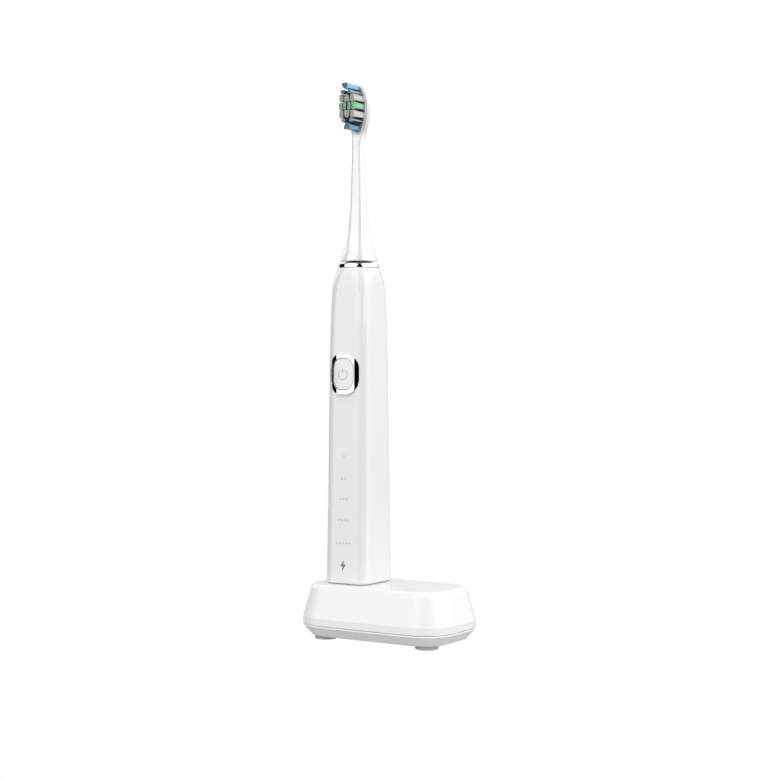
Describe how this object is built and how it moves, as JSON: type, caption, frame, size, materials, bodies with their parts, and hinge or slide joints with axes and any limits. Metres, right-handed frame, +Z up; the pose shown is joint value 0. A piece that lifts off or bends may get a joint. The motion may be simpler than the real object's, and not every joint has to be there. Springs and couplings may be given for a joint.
{
  "type": "electric toothbrush on charger",
  "caption": "Slim white electric toothbrush with coloured bristle rows standing upright on a tapered induction charging base with a grey underside and rubber feet.",
  "frame": {"origin": "centre of the base's footprint, at the bottom of the rubber feet", "axes": "+Z up along the brush; +X along the base's long side, away from the brush; the button and bristles face -Y"},
  "size_m": [0.0852, 0.05, 0.2781],
  "materials": {
    "white_gloss": "smooth glossy white ABS",
    "white_satin": "satin white ABS with a soft sheen",
    "head_white": "glossy white polypropylene",
    "grey_plastic": "fine-textured light grey plastic",
    "chrome": "polished chrome plating",
    "foot_rubber": "matt grey rubber",
    "seal_rubber": "matt black elastomer",
    "clear_silicone": "translucent silicone",
    "button_plastic": "satin light grey-white plastic",
    "inner_plastic": "plain moulded plastic",
    "light_plastic": "translucent diffuser plastic",
    "black_plastic": "black moulded plastic",
    "steel": "plain steel",
    "magnet": "nickel-plated magnet",
    "ferrite": "sintered ferrite",
    "copper": "enamelled copper winding",
    "circuit_board": "green solder mask",
    "component": "black component bodies",
    "cell_wrap": "shrink-wrapped cell",
    "bristle_blue": "blue nylon filament",
    "bristle_grey_blue": "fine grey-blue nylon filament",
    "bristle_white": "white nylon filament",
    "bristle_green": "green nylon filament"
  },
  "bodies": {
    "charger": {"base_upper_shell": "white_gloss", "base_bottom_cover": "grey_plastic", "rubber_feet": "foot_rubber", "base_screws": "steel", "primary_ferrite_core": "ferrite", "coil_bobbin": "black_plastic", "primary_coil": "copper", "base_circuit_board": "circuit_board", "base_board_components": "component", "inlet_receptacle": "steel", "inlet_tongue": "black_plastic"},
    "handle": {"handle_housing": "white_satin", "top_trim_ring": "chrome", "shaft_seal": "seal_rubber", "handle_end_cap": "white_satin", "end_cap_seal": "clear_silicone", "inner_chassis": "inner_plastic", "chassis_screws": "steel", "motor_can": "steel", "stator_coils": "copper", "front_bearing": "steel", "rear_bearing": "steel", "battery_cell": "cell_wrap", "battery_tabs": "steel", "control_board": "circuit_board", "control_board_components": "component", "indicator_leds": "light_plastic", "light_guide": "light_plastic", "tactile_switch": "black_plastic", "button_bezel": "chrome", "button_gasket": "clear_silicone", "secondary_coil": "copper"},
    "button": {"power_button": "button_plastic"},
    "drive": {"drive_shaft": "steel", "rotor_core": "steel", "rotor_magnets": "magnet"},
    "brush_head": {"brush_neck": "head_white", "shaft_socket": "inner_plastic", "socket_spring_band": "steel", "bristles_tip_blue": "bristle_blue", "bristles_thin_blue": "bristle_grey_blue", "bristles_white": "bristle_white", "bristles_green": "bristle_green"}
  },
  "joints": [
    {"name": "handle_lift", "type": "slide", "parent": "charger", "child": "handle", "axis": [0, 0, 1], "range_m": [0, 0.06]},
    {"name": "button_press", "type": "slide", "parent": "handle", "child": "button", "axis": [0, 1, 0], "range_m": [0, 0.0005], "stiffness_N_per_m": 800},
    {"name": "shaft_oscillation", "type": "hinge", "parent": "handle", "child": "drive", "pos_m": [-0.0179, 0, 0.19], "axis": [0, 0, 1], "range_deg": [-4.5, 4.5], "stiffness_Nm_per_rad": 0.01},
    {"name": "head_pull", "type": "slide", "parent": "drive", "child": "brush_head", "axis": [0, 0, 1], "range_m": [0, 0.03]}
  ]
}
